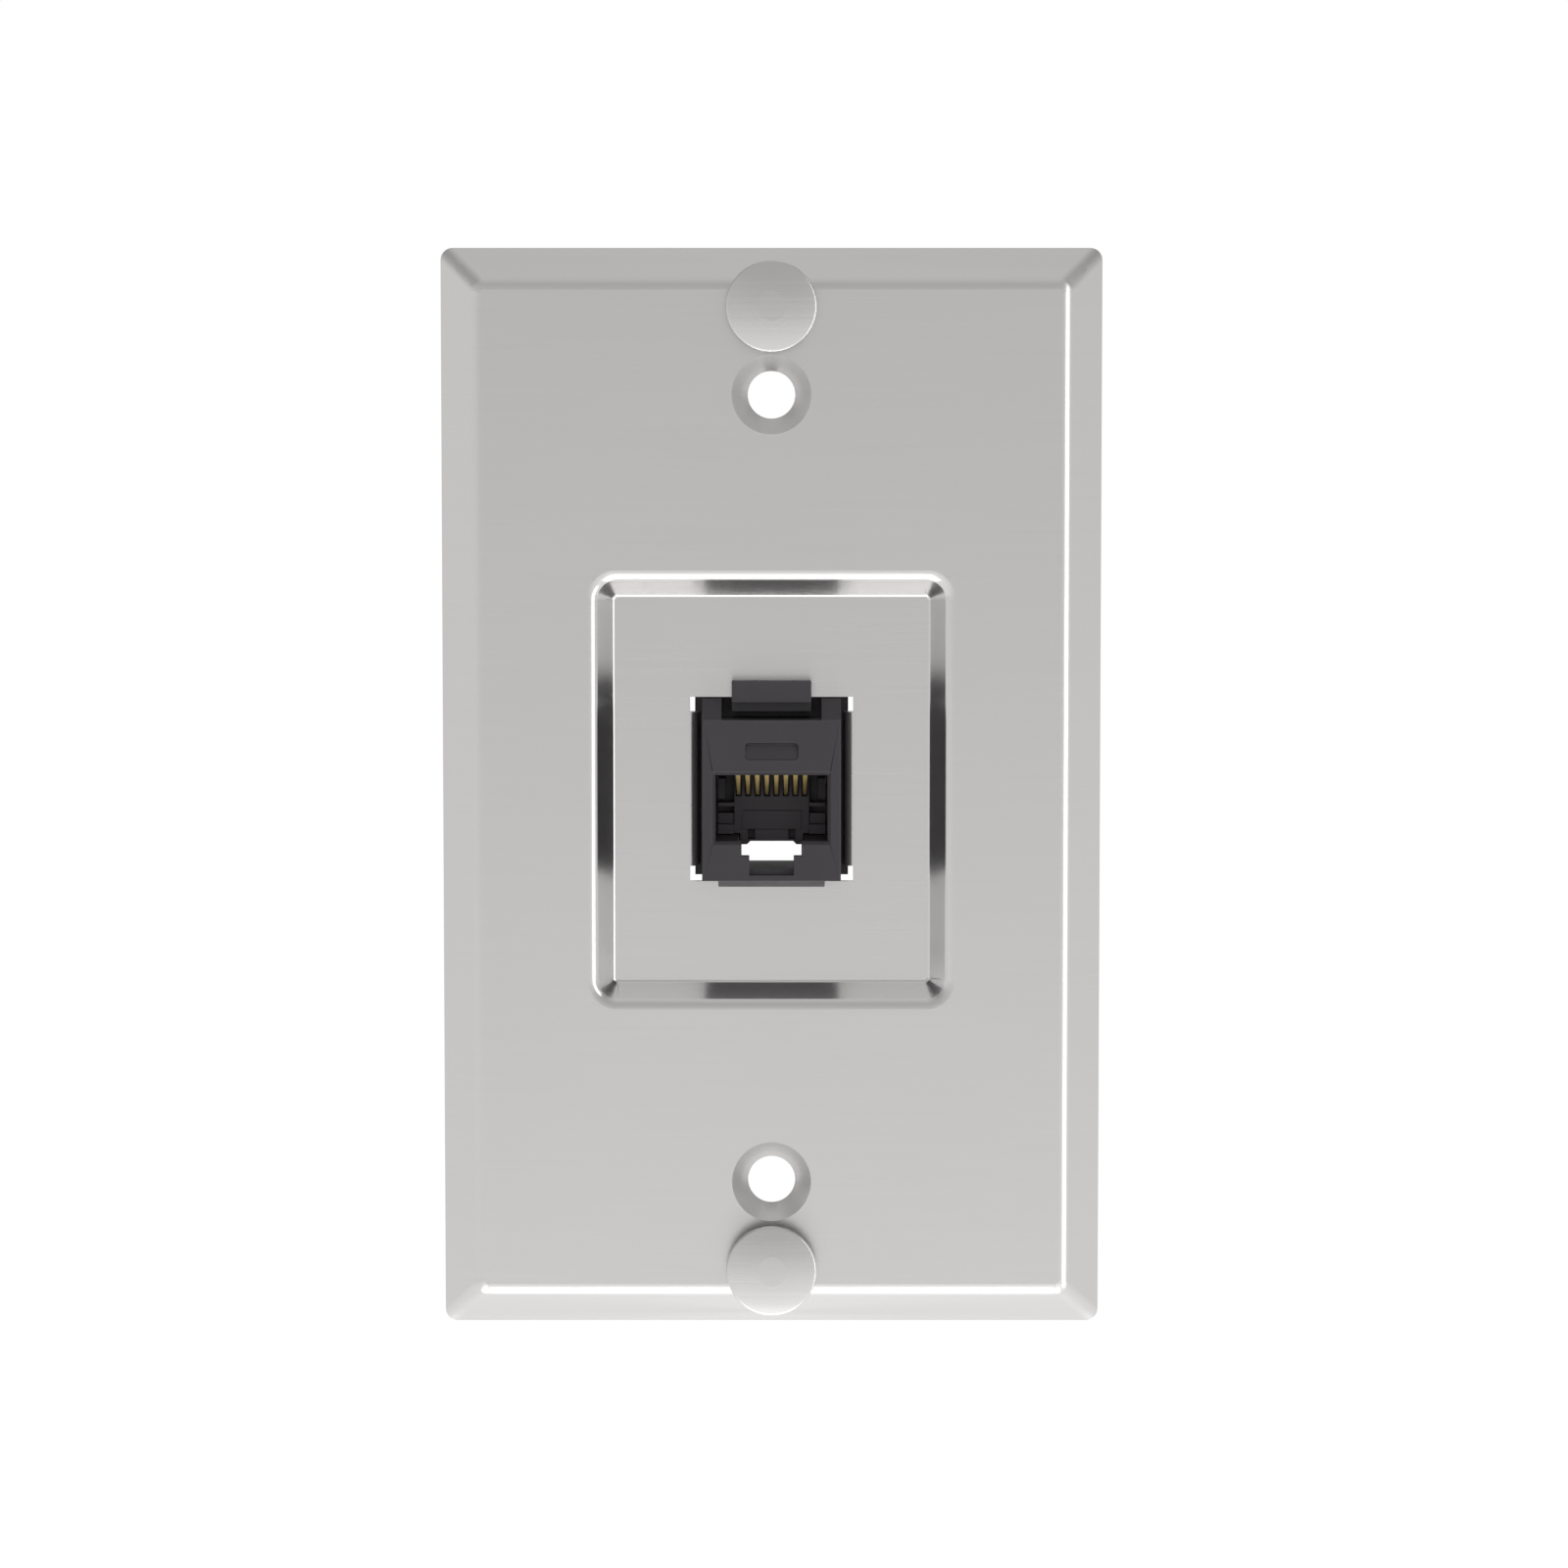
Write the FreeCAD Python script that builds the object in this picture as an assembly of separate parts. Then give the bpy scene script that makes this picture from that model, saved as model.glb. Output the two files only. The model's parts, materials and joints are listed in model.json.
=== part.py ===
import FreeCAD, Part
import os
from math import cos, hypot, pi, radians, sin, tan

from FreeCAD import Vector

# Wall telephone plate with a modular jack, in millimetres.
# X is to the viewer's right, Z up, and Y goes back into the wall. The plate's rim stands on the
# wall plane Y = 0, and the origin is the middle of the rim.

# Pressed plate
plate_width = 69.85
plate_height = 114.3
plate_corner_radius = 1.3
sheet = 1.0
face_stand = 3.75           # front face to wall
bevel_run = 3.8             # rim to bend line, seen from the front
rim_land = 0.3              # upright edge at the rim
bevel_corner_radius = 1.3   # at the bend line
bevel_bend_radius = 1.9

# Recessed panel round the jack
recess_width = 37.6         # at the bend line of the mouth
recess_height = 45.2
recess_depth = 2.2
recess_wall_run = 2.1
recess_mouth_corner = 2.45
recess_floor_corner = 0.45
recess_mouth_bend = 1.5
recess_floor_bend = 0.42

# Opening for the jack, with a flange bent back on each side
aperture_width = 17.32
aperture_height = 19.6
flange_length = 16.35
flange_depth = 2.5          # recess floor to flange end

# Dimpled screw holes
screw_inset = 15.48         # plate's end to hole axis
screw_hole = 5.0
dimple_mouth = 8.4
dimple_angle = 82.0
dimple_lip = 0.35           # straight wall at the hole

# Shoulder studs that a telephone hangs on
stud_inset = 6.35           # plate's end to stud axis
stud_head = 9.5
stud_stand = 3.15           # head front to plate face
stud_head_thickness = 1.4
stud_crown = 0.5
stud_edge = 0.12
stud_neck = 4.6
stud_shank = 3.0
stud_tail = 4.0
stud_tail_height = 0.5
rivet_gap = 0.03

# Jack housing, nose through the opening
nose_stand = 3.95           # nose front to recess floor
nose_side_gap = 0.35
nose_bottom_gap = 0.35
nose_top_gap = 0.15
nose_slope_drop = 2.05      # from nose top to the top edge of the nose front
nose_slope_run = 3.8
nose_edge = 0.15
shoulder_catch = 0.49       # hold of the shoulder behind each flange end
shoulder_thickness = 2.65
shoulder_rise = 1.1         # above the opening's top edge
shoulder_bottom_gap = 0.5
rear_body_step = 0.89       # shoulder side to rear body side
rear_body_depth = 5.4       # behind the shoulder
floor_depth = 3.1           # housing floor behind the shoulder

# Latch arm over the opening's top edge, and fixed lip under its bottom edge
latch_pocket_width = 10.5
latch_pocket_depth = 2.1
latch_width = 8.38
latch_thickness = 1.15
latch_top_gap = 0.35
latch_hook_gap = 0.15
latch_tab_rise = 1.75       # above the opening's top edge
latch_tab_drop = 0.1        # front of the tab below the arm's top
latch_tab_thickness = 2.4
latch_tab_overhang = 2.1    # tab front to the arm's end
latch_root_back = 0.9       # root behind the shoulder's front
lip_width = 11.28
lip_drop = 0.94
lip_thickness = 1.5

# Finger pad on the nose front
pad_width = 5.65
pad_height = 1.7
pad_centre = 4.2
pad_depth = 0.05            # at its bottom edge
pad_lean = 18.0             # degrees, deeper at its top edge
pad_corner = 0.42

# Socket for the plug
plug_width = 11.8
plug_height = 6.97
plug_top = 1.72
mouth_chamfer = 0.36
mouth_corner = 0.1
latch_slot_width = 6.32
latch_slot_drop = 1.54      # below the plug opening
throat_width = 4.1
throat_drop = 1.49          # below the wide slot
throat_mouth_width = 4.68
throat_mouth_drop = 0.57    # below the throat floor
throat_mouth_depth = 1.2
channel_width = 7.0         # behind the front wall
rail_width = 6.2            # between the rails beside the tongue
rail_behind = 1.1           # carrier face to the rails
chamber_front_wall = 1.5
chamber_side_wall = 0.1     # beside the carrier

# Contacts
contact_count = 8
contact_pitch = 1.016
contact_width = 0.5
contact_thickness = 0.3
contact_bend_radius = 0.7   # of the centre line
contact_slope = 21.0        # degrees below level
contact_run_height = 3.2    # of the lower row
contact_row_step = 1.3      # upper row above lower row
contact_bend_behind = 2.9   # bend centre behind the nose front
contact_tip_behind = 9.8
contact_tail = 0.6          # behind the board

# Comb-shaped contact carrier
slide_gap = 0.1
comb_gap = 0.05
carrier_face_behind = 9.7   # carrier face behind the nose front
carrier_plate = 0.75
carrier_rib_rise = 0.4
carrier_face_width = 8.1
comb_slot_depth = 1.2
comb_slot_top = 0.6
comb_slot_bottom = -1.12
wing_set_back = 2.0
wing_bar_width = 0.85
wing_bar_top = 0.75
wing_bar_bottom = -1.6
wing_bar_stand = 1.0
wing_rib_top = -1.8
wing_rib_thickness = 0.4
wing_rib_stand = 2.6
wing_step_top = -2.95
wing_step_stand = 1.8
wing_ledge_top = -4.1
wing_ledge_stand = 3.2
panel_width = 6.4
panel_top = -2.7
panel_depth = 0.15
tongue_drop = 1.09          # below the plug opening
tongue_notch_width = 5.3
tongue_notch_rise = 0.36
foot_width = 3.6
foot_height = 1.03
foot_rise = 0.22            # above the notch
foot_pocket = 0.75          # width of the pocket on each side
foot_pocket_depth = 1.5

# Circuit board
board_thickness = 1.6
board_side_gap = 0.05
pin_gap = 0.1

# Rear terminal block
block_top = 9.5
block_bottom = -5.5
block_base = 3.6
tower_height = 7.6
trough_width = 6.8
wire_rows = 4
wire_pitch = 3.3
wire_slot_width = 1.1
wire_slot_floor = 1.8       # above the base
wire_lead_in = 0.6
wire_lead_depth = 1.2
tail_pocket_depth = 1.2
tail_pocket_margin = 0.6
arm_gap = 0.05
arm_thickness = 0.75
arm_width = 4.0
arm_front_gap = 0.2
catch_length = 1.4
catch_width = 2.0
catch_gap = 0.1
catch_from_shoulder = 1.6

# Forked wire terminals
blade_thickness = 0.5
blade_width = 2.4
blade_gap = 0.05
blade_tip_gap = 1.0         # below the tower tops
blade_slit = 0.4
blade_slit_depth = 5.0
blade_mouth = 0.45
blade_pin_width = 0.8

# Places worked out from the sizes, front to back along Y
face_y = -face_stand
floor_y = face_y + recess_depth
nose_y = floor_y - nose_stand
flange_y = floor_y + flange_depth
shoulder_back_y = flange_y + shoulder_thickness
rear_y = shoulder_back_y + rear_body_depth
floor_back_y = shoulder_back_y + floor_depth
carrier_y = nose_y + carrier_face_behind
rail_y = carrier_y + rail_behind
board_back_y = rear_y + board_thickness
tower_y = board_back_y + block_base
tower_top_y = tower_y + tower_height

# Places worked out from the sizes, across and up
screw_height = plate_height / 2 - screw_inset
stud_height = plate_height / 2 - stud_inset
aperture_half_width = aperture_width / 2
aperture_half_height = aperture_height / 2
flange_half = aperture_half_width - sheet
nose_half = flange_half - nose_side_gap
nose_top = aperture_half_height - nose_top_gap
nose_bottom = nose_bottom_gap - aperture_half_height
shoulder_half = flange_half + shoulder_catch
shoulder_top = aperture_half_height + shoulder_rise
shoulder_bottom = shoulder_bottom_gap - aperture_half_height
rear_half = shoulder_half - rear_body_step
plug_half = plug_width / 2
plug_bottom = plug_top - plug_height
slot_bottom = plug_bottom - latch_slot_drop
throat_bottom = slot_bottom - throat_drop
tongue_bottom = plug_bottom - tongue_drop
latch_top = aperture_half_height - latch_top_gap
pocket_bottom = nose_top - latch_pocket_depth
comb_half = (contact_count - 1) * contact_pitch / 2 + contact_width / 2 + comb_gap
plate_half = comb_half + contact_pitch - contact_width
run_bottom = contact_run_height - contact_thickness / 2
bend_y = nose_y + contact_bend_behind
upper_row = contact_run_height + contact_row_step
chamber_top = upper_row + contact_row_step / 2
arm_inner = rear_half + arm_gap
arm_outer = arm_inner + arm_thickness
blade_x = (trough_width / 2 + arm_outer) / 2
block_middle = (block_top + block_bottom) / 2
contact_places = [(i - (contact_count - 1) / 2) * contact_pitch for i in range(contact_count)]
wire_places = [block_middle + (i - (wire_rows - 1) / 2) * wire_pitch for i in range(wire_rows)]


def box(x, y, z):
    """Block between two places along each axis."""
    corner = Vector(min(x), min(y), min(z))
    return Part.makeBox(abs(x[1] - x[0]), abs(y[1] - y[0]), abs(z[1] - z[0]), corner)


def prism_x(outline, x):
    """Block with an outline of (Y, Z) points, between two places along X."""
    points = [Vector(x[0], y, z) for y, z in outline]
    face = Part.Face(Part.makePolygon(points + points[:1]))
    return face.extrude(Vector(x[1] - x[0], 0, 0))


def prism_y(outline, y):
    """Block with an outline of (X, Z) points, between two places along Y."""
    points = [Vector(x, y[0], z) for x, z in outline]
    face = Part.Face(Part.makePolygon(points + points[:1]))
    return face.extrude(Vector(0, y[1] - y[0], 0))


def mirrored(shape):
    """The shape's copy on the other side of the middle plane X = 0."""
    return shape.mirror(Vector(0, 0, 0), Vector(1, 0, 0))


def both_sides(shape):
    """The shape with its mirror image, as a list of two tools."""
    return [shape, mirrored(shape)]


def rounded_rectangle(half_width, half_height, radius, y):
    """Edges of a rectangle with round corners, in the plane at Y = y: arc, line, arc, line ..."""
    corners = []
    for sx, sz, start in [(1, 1, 0), (-1, 1, 90), (-1, -1, 180), (1, -1, 270)]:
        centre = Vector(sx * (half_width - radius), y, sz * (half_height - radius))
        angles = [radians(start + turn) for turn in (0, 45, 90)]
        corners.append([centre + Vector(radius * cos(a), 0, radius * sin(a)) for a in angles])
    edges = []
    for points, following in zip(corners, corners[1:] + corners[:1]):
        edges.append(Part.Arc(*points).toShape())
        edges.append(Part.LineSegment(points[2], following[0]).toShape())
    return edges


def frustum(*sections):
    """Solid through rounded rectangles, each given as half width, half height, radius and Y."""
    rings = [rounded_rectangle(*s) for s in sorted(sections, key=lambda s: s[3])]
    faces = [Part.Face(Part.Wire(rings[0])), Part.Face(Part.Wire(rings[-1]))]
    for ring, following in zip(rings, rings[1:]):
        for i, (low, high) in enumerate(zip(ring, following)):
            if i % 2:
                a, b = [v.Point for v in low.Vertexes]
                c, d = [v.Point for v in high.Vertexes]
                faces.append(Part.Face(Part.makePolygon([a, b, d, c, a])))
            else:
                faces.append(Part.makeRuledSurface(low, high))
    shell = Part.makeShell(faces)
    shell.sewShape()
    return Part.makeSolid(shell)


def loop_edges(shape, y, half_width, half_height):
    """Edges in the plane at Y = y that lie within a rectangle about the middle."""
    near = 0.001
    found = []
    for edge in shape.Edges:
        b = edge.BoundBox
        flat = abs(b.YMin - y) < near and abs(b.YMax - y) < near
        inside = max(abs(b.XMin), abs(b.XMax)) < half_width + near
        inside = inside and max(abs(b.ZMin), abs(b.ZMax)) < half_height + near
        if flat and inside:
            found.append(edge)
    return found


def outer_form():
    """The plate's outside with its bevelled border and rounded bend."""
    half_w = plate_width / 2
    half_h = plate_height / 2
    form = frustum(
        (half_w, half_h, plate_corner_radius, 0),
        (half_w, half_h, plate_corner_radius, -rim_land),
        (half_w - bevel_run, half_h - bevel_run, bevel_corner_radius, face_y),
    )
    top = loop_edges(form, face_y, half_w, half_h)
    return form.makeFillet(bevel_bend_radius, top)


def inner_form():
    """The hollow behind the plate, one sheet thickness inside its outside."""
    drop = face_stand - rim_land
    lean = bevel_run / drop
    shift = sheet * hypot(bevel_run, drop) / drop
    behind = sheet
    rows = []
    for y in (behind, face_y + sheet):
        inset = shift + (-rim_land - y) * lean
        radius = plate_corner_radius if y > 0 else bevel_corner_radius
        rows.append((plate_width / 2 - inset, plate_height / 2 - inset, radius, y))
    return frustum(*rows)


def recess_section(y, grow, radius):
    """Section of the recess at Y = y, with its sloping wall moved outwards by grow."""
    inset = recess_wall_run * (y - face_y) / recess_depth - grow
    return (recess_width / 2 - inset, recess_height / 2 - inset, radius, y)


def recess_back():
    """The recess seen from behind: a shallow pan one sheet thickness outside the front."""
    grow = sheet * hypot(recess_wall_run, recess_depth) / recess_depth
    end_y = floor_y + sheet
    pan = frustum(
        recess_section(face_y + sheet / 2, grow, recess_mouth_corner),
        recess_section(end_y, grow, recess_floor_corner + sheet),
    )
    end = loop_edges(pan, end_y, recess_width, recess_height)
    return pan.makeFillet(recess_floor_bend + sheet, end)


def recess_pocket():
    """What the recess takes out of the front."""
    above = sheet
    flare = (recess_mouth_corner - recess_floor_corner) / recess_depth
    pocket = frustum(
        recess_section(face_y - above, 0, recess_mouth_corner + flare * above),
        recess_section(floor_y, 0, recess_floor_corner),
    )
    floor = loop_edges(pocket, floor_y, recess_width, recess_height)
    return pocket.makeFillet(recess_floor_bend, floor)


def dimple_depth():
    """Depth of the cone between the dimple's mouth and its hole."""
    return (dimple_mouth - screw_hole) / 2 / tan(radians(dimple_angle / 2))


def cone_y(radius_front, radius_back, y_front, y_back, z):
    """Cone or cylinder along Y at height z."""
    length = y_back - y_front
    base = Vector(0, y_front, z)
    if abs(radius_front - radius_back) < 1e-6:
        return Part.makeCylinder(radius_front, length, base, Vector(0, 1, 0))
    return Part.makeCone(radius_front, radius_back, length, base, Vector(0, 1, 0))


def dimple_tools(z):
    """The dimple at height z: its bump behind the sheet, and what it takes out of the front."""
    lean = tan(radians(dimple_angle / 2))
    shift = sheet / cos(radians(dimple_angle / 2))
    end_y = face_y + dimple_depth() + dimple_lip

    def radius_at(y):
        return dimple_mouth / 2 - (y - face_y) * lean

    start_y = face_y + sheet / 2
    bump = cone_y(radius_at(start_y) + shift, radius_at(end_y) + shift, start_y, end_y, z)
    above_y = face_y - sheet
    cone_end = face_y + dimple_depth()
    cone = cone_y(radius_at(above_y), screw_hole / 2, above_y, cone_end, z)
    hole = cone_y(screw_hole / 2, screw_hole / 2, cone_end, end_y + sheet, z)
    return bump, cone.fuse(hole)


def flange():
    """The sheet bent back on the right side of the opening."""
    bend_x = aperture_half_width
    back_y = floor_y + sheet
    root_x = bend_x + sheet
    middle = sheet * (1 - cos(pi / 4))
    corners = [
        Vector(root_x, floor_y, 0),
        Vector(bend_x, floor_y, 0),
        Vector(flange_half, back_y, 0),
        Vector(flange_half, flange_y, 0),
        Vector(bend_x, flange_y, 0),
        Vector(bend_x, back_y, 0),
        Vector(root_x, back_y, 0),
    ]
    arc_middle = Vector(flange_half + middle, floor_y + middle, 0)
    edges = [Part.LineSegment(corners[0], corners[1]).toShape()]
    edges.append(Part.Arc(corners[1], arc_middle, corners[2]).toShape())
    for i in range(2, len(corners)):
        edges.append(Part.LineSegment(corners[i], corners[(i + 1) % len(corners)]).toShape())
    section = Part.Face(Part.Wire(edges))
    section.translate(Vector(0, 0, -flange_length / 2))
    return section.extrude(Vector(0, 0, flange_length))


def faceplate():
    """Pressed sheet: bevelled border, recess, dimples, stud holes, opening and flanges."""
    bumps = [recess_back()]
    cuts = [recess_pocket()]
    for side in (1, -1):
        bump, cut = dimple_tools(side * screw_height)
        bumps.append(bump)
        cuts.append(cut)
        rivet_hole = stud_shank / 2 + rivet_gap
        cuts.append(cone_y(rivet_hole, rivet_hole, face_y - sheet, 0, side * stud_height))
    across = (-aperture_half_width, aperture_half_width)
    cuts.append(box(across, (face_y, 0), (-aperture_half_height, aperture_half_height)))
    plate = outer_form().cut(inner_form()).fuse(bumps).cut(cuts)
    mouth = loop_edges(plate, face_y, recess_width / 2, recess_height / 2)
    plate = plate.makeFillet(recess_mouth_bend, mouth)
    return plate.fuse(both_sides(flange())).removeSplitter()


def stud(z):
    """Turned shoulder stud: crowned head, neck on the face, shank and staked tail."""
    front = face_y - stud_stand
    head_back = front + stud_head_thickness
    sheet_back = face_y + sheet
    tail_end = sheet_back + stud_tail_height
    head = stud_head / 2
    ball = (head ** 2 + stud_crown ** 2) / (2 * stud_crown)
    outline = [
        Vector(0, front, 0),
        Vector(head, front, 0),
        Vector(head, head_back, 0),
        Vector(stud_neck / 2, head_back, 0),
        Vector(stud_neck / 2, face_y, 0),
        Vector(stud_shank / 2, face_y, 0),
        Vector(stud_shank / 2, sheet_back, 0),
        Vector(stud_tail / 2, sheet_back, 0),
        Vector(stud_tail / 2, tail_end, 0),
        Vector(0, tail_end, 0),
    ]
    blank = Part.Face(Part.makePolygon(outline + outline[:1]))
    turned = blank.revolve(Vector(0, 0, 0), Vector(0, 1, 0), 360)
    crowned = turned.common(Part.makeSphere(ball, Vector(0, front + ball, 0)))
    rim = loop_edges(crowned, front + stud_crown, head, head)
    finished = crowned.makeChamfer(stud_edge, rim)
    finished.translate(Vector(0, 0, z))
    return finished


def housing_body():
    """Outside of the housing: sloped nose, shoulders behind the flanges and rear body."""
    slope_y = nose_y + nose_slope_run
    nose = prism_x([
        (nose_y, nose_bottom),
        (nose_y, nose_top - nose_slope_drop),
        (slope_y, nose_top),
        (shoulder_back_y, nose_top),
        (shoulder_back_y, nose_bottom),
    ], (-nose_half, nose_half))
    front = [
        e for e in nose.Edges
        if abs(e.BoundBox.YMax - nose_y) < 0.001 and e.BoundBox.ZLength > e.BoundBox.XLength
    ]
    nose = nose.makeFillet(nose_edge, front)
    shoulder = box(
        (-shoulder_half, shoulder_half), (flange_y, shoulder_back_y), (shoulder_bottom, shoulder_top)
    )
    rear = box((-rear_half, rear_half), (shoulder_back_y, rear_y), (block_bottom, nose_top))
    skirt = box(
        (-rear_half, rear_half), (shoulder_back_y, floor_back_y), (shoulder_bottom, block_bottom)
    )
    return nose.fuse([shoulder, rear, skirt])


def socket_cuts():
    """Everything that the plug and its latch need, and the chamber over the contacts."""
    ahead = nose_y - 1
    behind = rear_y + 1
    chamfer_y = nose_y + mouth_chamfer
    middle = (plug_top + plug_bottom) / 2
    wide = frustum(*[
        (plug_half + grow, plug_height / 2 + grow, mouth_corner, y)
        for grow, y in ((mouth_chamfer, nose_y), (0, chamfer_y))
    ])
    wide.translate(Vector(0, 0, middle))
    slot_half = latch_slot_width / 2
    throat_half = throat_width / 2
    mouth_half = throat_mouth_width / 2
    channel_half = channel_width / 2
    channel_y = nose_y + throat_mouth_depth
    rail_half = rail_width / 2
    rail_bottom = tongue_bottom - slide_gap
    chamber_half = plate_half + chamber_side_wall
    return [
        wide,
        box((-plug_half, plug_half), (chamfer_y, behind), (plug_bottom, plug_top)),
        box((-slot_half, slot_half), (ahead, behind), (slot_bottom, plug_bottom)),
        box((-throat_half, throat_half), (ahead, behind), (throat_bottom, slot_bottom)),
        box((-channel_half, channel_half), (channel_y, rail_y), (throat_bottom, plug_bottom)),
        box((-channel_half, channel_half), (channel_y, behind), (throat_bottom, rail_bottom)),
        box((-rail_half, rail_half), (channel_y, behind), (throat_bottom, plug_bottom)),
        box(
            (-mouth_half, mouth_half),
            (ahead, nose_y + throat_mouth_depth),
            (throat_bottom - throat_mouth_drop, slot_bottom),
        ),
        box(
            (-chamber_half, chamber_half),
            (nose_y + chamber_front_wall, behind),
            (plug_top, chamber_top),
        ),
    ]


def latch_arm():
    """Springy arm with the hook that snaps in front of the opening's top edge."""
    root_y = flange_y + latch_root_back
    back_y = shoulder_back_y
    hook_y = floor_y - latch_hook_gap
    tab_y = hook_y - latch_tab_thickness
    tab_top = aperture_half_height + latch_tab_rise
    tab_bottom = latch_top - latch_tab_drop
    arm_bottom = latch_top - latch_thickness
    arm_end = tab_y + latch_tab_overhang
    arm = prism_x([
        (back_y, arm_bottom),
        (back_y, latch_top),
        (hook_y, latch_top),
        (hook_y, tab_top),
        (tab_y, tab_top),
        (tab_y, tab_bottom),
        (arm_end, tab_bottom),
        (arm_end, arm_bottom),
    ], (-latch_width / 2, latch_width / 2))
    root = box((-latch_width / 2, latch_width / 2), (root_y, back_y), (pocket_bottom, latch_top))
    return arm.fuse(root)


def fixed_lip():
    """Wedge that hooks in front of the opening's bottom edge."""
    lip_y = floor_y - latch_hook_gap
    return prism_x([
        (lip_y, nose_bottom),
        (lip_y - lip_thickness, nose_bottom),
        (lip_y, nose_bottom - lip_drop),
    ], (-lip_width / 2, lip_width / 2))


def catch_wedge():
    """Wedge on the right side of the rear body that holds the terminal block's arm."""
    front_y = shoulder_back_y + catch_from_shoulder
    back_y = front_y + catch_length
    inner = rear_half - catch_gap
    outer = arm_outer - catch_gap
    points = [(inner, front_y), (outer, front_y), (inner, back_y)]
    corners = [Vector(x, y, block_middle - catch_width / 2) for x, y in points]
    face = Part.Face(Part.makePolygon(corners + corners[:1]))
    return face.extrude(Vector(0, 0, catch_width))


def jack_housing():
    """One moulding: nose, shoulders, socket, latch arm, lip and side catches."""
    body = housing_body()
    pocket_half = latch_pocket_width / 2
    root_y = flange_y + latch_root_back
    above = shoulder_top + 1
    pad = frustum(*[(pad_width / 2, pad_height / 2, pad_corner, y) for y in (-1, 0)])
    pad.rotate(Vector(0, 0, -pad_height / 2), Vector(1, 0, 0), -pad_lean)
    pad.translate(Vector(0, nose_y + pad_depth, pad_centre))
    cuts = socket_cuts() + [
        box((-pocket_half, pocket_half), (nose_y - 1, root_y), (pocket_bottom, above)),
        pad,
    ]
    added = [latch_arm(), fixed_lip()] + both_sides(catch_wedge())
    return body.cut(cuts).fuse(added).removeSplitter()


def comb():
    """Top plate of the carrier, with a rib on each side of every contact."""
    back_y = rear_y
    plate = box((-plate_half, plate_half), (bend_y, back_y), (run_bottom - carrier_plate, run_bottom))
    rib_half = (contact_pitch - contact_width) / 2 - comb_gap
    ribs = []
    for i in range(contact_count + 1):
        x = (i - contact_count / 2) * contact_pitch
        ribs.append(
            box((x - rib_half, x + rib_half), (bend_y, back_y), (run_bottom, run_bottom + carrier_rib_rise))
        )
    return plate.fuse(ribs)


def wing_steps():
    """Bar, rib, step and ledge on the right wing of the carrier, seen through the socket."""
    inner = carrier_face_width / 2
    outer = plug_half - slide_gap
    wing_y = carrier_y + wing_set_back
    bottom = plug_bottom + slide_gap
    steps = [
        (outer - wing_bar_width, wing_bar_stand, wing_bar_bottom, wing_bar_top),
        (inner, wing_rib_stand, wing_rib_top - wing_rib_thickness, wing_rib_top),
        (inner, wing_step_stand, wing_ledge_top, wing_step_top),
        (inner, wing_ledge_stand, bottom, wing_ledge_top),
    ]
    return [
        box((start, outer), (wing_y - stand, wing_y), (low, high)) for start, stand, low, high in steps
    ]


def contact_carrier():
    """Insert behind the socket: wall with comb slots, wings, tongue, foot and top plate."""
    outer = plug_half - slide_gap
    inner = carrier_face_width / 2
    top = run_bottom - carrier_plate
    bottom = plug_bottom + slide_gap
    ceiling = plug_top - slide_gap
    tongue_half = channel_width / 2 - slide_gap
    tail_half = rail_width / 2 - slide_gap
    face = box((-inner, inner), (carrier_y, rear_y), (bottom, top))
    wings = box((-outer, outer), (carrier_y + wing_set_back, rear_y), (bottom, ceiling))
    tongue = box((-tongue_half, tongue_half), (carrier_y, rail_y - slide_gap), (tongue_bottom, bottom))
    tongue = tongue.fuse(box((-tail_half, tail_half), (carrier_y, rear_y), (tongue_bottom, bottom)))
    notch_half = tongue_notch_width / 2
    notch_top = tongue_bottom + tongue_notch_rise
    notch = prism_y([
        (-notch_half, tongue_bottom),
        (notch_half, tongue_bottom),
        (notch_half - tongue_notch_rise, notch_top),
        (tongue_notch_rise - notch_half, notch_top),
    ], (carrier_y, rear_y))
    body = face.fuse([wings, tongue.cut(notch), comb()])
    for step in wing_steps():
        body = body.fuse(both_sides(step))
    foot_half = foot_width / 2
    foot_bottom = notch_top + foot_rise
    foot_top = foot_bottom + foot_height
    panel_half = panel_width / 2
    pocket = box(
        (foot_half, foot_half + foot_pocket),
        (carrier_y, carrier_y + foot_pocket_depth),
        (foot_bottom, foot_top),
    )
    panel = box((-panel_half, panel_half), (carrier_y, carrier_y + panel_depth), (foot_top, panel_top))
    cuts = [panel] + both_sides(pocket)
    slot_half = contact_width / 2 + comb_gap
    for x in contact_places:
        cuts.append(box(
            (x - slot_half, x + slot_half),
            (carrier_y, carrier_y + comb_slot_depth),
            (comb_slot_bottom, comb_slot_top),
        ))
    return body.cut(cuts).removeSplitter()


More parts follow.
